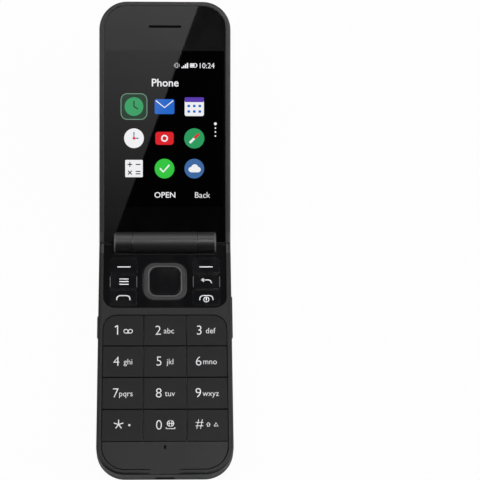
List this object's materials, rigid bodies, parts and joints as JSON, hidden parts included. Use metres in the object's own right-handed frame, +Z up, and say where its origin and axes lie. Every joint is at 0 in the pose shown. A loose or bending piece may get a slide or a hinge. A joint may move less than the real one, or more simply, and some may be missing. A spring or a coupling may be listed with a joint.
{
  "type": "flip phone",
  "caption": "Clamshell mobile phone: keypad base and display lid on one hinge barrel, with an outer window, side keys, charging and headset sockets.",
  "frame": {"origin": "centre of the base's flat back face, between the sides and midway between the tip and the hinge axis", "axes": "+Y along the phone from the keypad base towards the hinge and the lid, +X to the user's right, +Z up out of the keypad; the lid is open at 155 degrees"},
  "size_m": [0.0556, 0.1931, 0.053],
  "materials": {
    "housing": "satin black moulding",
    "rear_housing": "fine matte black moulding",
    "lid_housing": "matte black moulding",
    "nav_gloss": "glossy black plate with light printed marks",
    "nav_keys": "glossy black key tops",
    "number_keys": "satin black key tops with light printed legends",
    "ring_finish": "satin dark grey ring",
    "side_key_plastic": "matte black",
    "barrel_caps": "satin black end caps",
    "window_glass": "clear window with a black back print",
    "outer_glass": "dark glossy wrap-round window",
    "display_panel": "display module",
    "silicone": "grey silicone",
    "board": "green solder mask",
    "steel": "plain steel",
    "contact_metal": "gold plated spring metal",
    "magnet_metal": "nickel plated",
    "mesh_metal": "blackened fine grille",
    "inner_plastic": "black engineering plastic",
    "battery_sleeve": "plain grey sleeve",
    "flex_film": "amber film",
    "lens_glass": "dark lens cover",
    "flash_plastic": "frosted lens"
  },
  "bodies": {
    "base": {"base_front_cover": "housing", "battery_cover": "rear_housing", "nav_plate": "nav_gloss", "main_board": "board", "dome_sheet": "steel", "keypad_mat": "silicone", "rear_chassis": "inner_plastic", "battery": "battery_sleeve", "battery_contacts": "contact_metal", "usb_socket": "steel", "headset_socket": "inner_plastic", "sim_card_holder": "steel", "loudspeaker": "inner_plastic", "vibration_motor": "steel", "microphone": "steel", "camera_module": "inner_plastic", "camera_window": "lens_glass", "flash_lens": "flash_plastic", "antenna": "inner_plastic", "chassis_screws": "steel", "hinge_cam_shaft": "steel", "hinge_sleeve": "steel", "hinge_caps": "barrel_caps"},
    "lid": {"lid_frame": "housing", "lid_outer_cover": "lid_housing", "main_window": "window_glass", "main_display": "display_panel", "earpiece": "inner_plastic", "earpiece_mesh": "mesh_metal", "outer_window": "outer_glass", "outer_display": "display_panel", "lid_board": "board", "display_flex": "flex_film", "magnet": "magnet_metal", "lid_screws": "steel", "hinge_module_case": "steel"},
    "nav_pad": {"nav_pad": "silicone"},
    "nav_ring": {"nav_ring": "ring_finish"},
    "select_key": {"select_key": "nav_keys"},
    "volume_rocker": {"volume_rocker": "side_key_plastic"},
    "emergency_key": {"emergency_key": "side_key_plastic"},
    "left_soft_key": {"left_soft_key": "nav_keys"},
    "menu_key": {"menu_key": "nav_keys"},
    "call_key": {"call_key": "nav_keys"},
    "right_soft_key": {"right_soft_key": "nav_keys"},
    "back_key": {"back_key": "nav_keys"},
    "end_key": {"end_key": "nav_keys"},
    "key_1": {"key_1": "number_keys"},
    "key_2": {"key_2": "number_keys"},
    "key_3": {"key_3": "number_keys"},
    "key_4": {"key_4": "number_keys"},
    "key_5": {"key_5": "number_keys"},
    "key_6": {"key_6": "number_keys"},
    "key_7": {"key_7": "number_keys"},
    "key_8": {"key_8": "number_keys"},
    "key_9": {"key_9": "number_keys"},
    "key_star": {"key_star": "number_keys"},
    "key_0": {"key_0": "number_keys"},
    "key_hash": {"key_hash": "number_keys"}
  },
  "joints": [
    {"name": "lid_hinge", "type": "hinge", "parent": "base", "child": "lid", "pos_m": [0, 0.05025, 0.01085], "axis": [1, 0, 0], "range_deg": [0, 155]},
    {"name": "nav_up_down", "type": "hinge", "parent": "base", "child": "nav_pad", "pos_m": [0, 0.033, 0.0084], "axis": [1, 0, 0], "range_deg": [-1.3, 1.3], "stiffness_Nm_per_rad": 1},
    {"name": "nav_left_right", "type": "hinge", "parent": "nav_pad", "child": "nav_ring", "pos_m": [0, 0.033, 0.00865], "axis": [0, 1, 0], "range_deg": [-1.3, 1.3], "stiffness_Nm_per_rad": 1},
    {"name": "select_key_press", "type": "slide", "parent": "base", "child": "select_key", "axis": [0, 0, -1], "range_m": [0, 0.0003], "stiffness_N_per_m": 2000},
    {"name": "volume_rock", "type": "hinge", "parent": "base", "child": "volume_rocker", "pos_m": [0.0263, 0.0181, 0.0071], "axis": [0, 0, 1], "range_deg": [-1.2, 1.2], "stiffness_Nm_per_rad": 1},
    {"name": "emergency_key_press", "type": "slide", "parent": "base", "child": "emergency_key", "axis": [1, 0, 0], "range_m": [0, 0.00025], "stiffness_N_per_m": 2000},
    {"name": "left_soft_key_press", "type": "slide", "parent": "base", "child": "left_soft_key", "axis": [0, 0, -1], "range_m": [0, 0.0003], "stiffness_N_per_m": 2000},
    {"name": "menu_key_press", "type": "slide", "parent": "base", "child": "menu_key", "axis": [0, 0, -1], "range_m": [0, 0.0003], "stiffness_N_per_m": 2000},
    {"name": "call_key_press", "type": "slide", "parent": "base", "child": "call_key", "axis": [0, 0, -1], "range_m": [0, 0.0003], "stiffness_N_per_m": 2000},
    {"name": "right_soft_key_press", "type": "slide", "parent": "base", "child": "right_soft_key", "axis": [0, 0, -1], "range_m": [0, 0.0003], "stiffness_N_per_m": 2000},
    {"name": "back_key_press", "type": "slide", "parent": "base", "child": "back_key", "axis": [0, 0, -1], "range_m": [0, 0.0003], "stiffness_N_per_m": 2000},
    {"name": "end_key_press", "type": "slide", "parent": "base", "child": "end_key", "axis": [0, 0, -1], "range_m": [0, 0.0003], "stiffness_N_per_m": 2000},
    {"name": "key_1_press", "type": "slide", "parent": "base", "child": "key_1", "axis": [0, 0, -1], "range_m": [0, 0.0003], "stiffness_N_per_m": 2000},
    {"name": "key_2_press", "type": "slide", "parent": "base", "child": "key_2", "axis": [0, 0, -1], "range_m": [0, 0.0003], "stiffness_N_per_m": 2000},
    {"name": "key_3_press", "type": "slide", "parent": "base", "child": "key_3", "axis": [0, 0, -1], "range_m": [0, 0.0003], "stiffness_N_per_m": 2000},
    {"name": "key_4_press", "type": "slide", "parent": "base", "child": "key_4", "axis": [0, 0, -1], "range_m": [0, 0.0003], "stiffness_N_per_m": 2000},
    {"name": "key_5_press", "type": "slide", "parent": "base", "child": "key_5", "axis": [0, 0, -1], "range_m": [0, 0.0003], "stiffness_N_per_m": 2000},
    {"name": "key_6_press", "type": "slide", "parent": "base", "child": "key_6", "axis": [0, 0, -1], "range_m": [0, 0.0003], "stiffness_N_per_m": 2000},
    {"name": "key_7_press", "type": "slide", "parent": "base", "child": "key_7", "axis": [0, 0, -1], "range_m": [0, 0.0003], "stiffness_N_per_m": 2000},
    {"name": "key_8_press", "type": "slide", "parent": "base", "child": "key_8", "axis": [0, 0, -1], "range_m": [0, 0.0003], "stiffness_N_per_m": 2000},
    {"name": "key_9_press", "type": "slide", "parent": "base", "child": "key_9", "axis": [0, 0, -1], "range_m": [0, 0.0003], "stiffness_N_per_m": 2000},
    {"name": "key_star_press", "type": "slide", "parent": "base", "child": "key_star", "axis": [0, 0, -1], "range_m": [0, 0.0003], "stiffness_N_per_m": 2000},
    {"name": "key_0_press", "type": "slide", "parent": "base", "child": "key_0", "axis": [0, 0, -1], "range_m": [0, 0.0003], "stiffness_N_per_m": 2000},
    {"name": "key_hash_press", "type": "slide", "parent": "base", "child": "key_hash", "axis": [0, 0, -1], "range_m": [0, 0.0003], "stiffness_N_per_m": 2000}
  ]
}
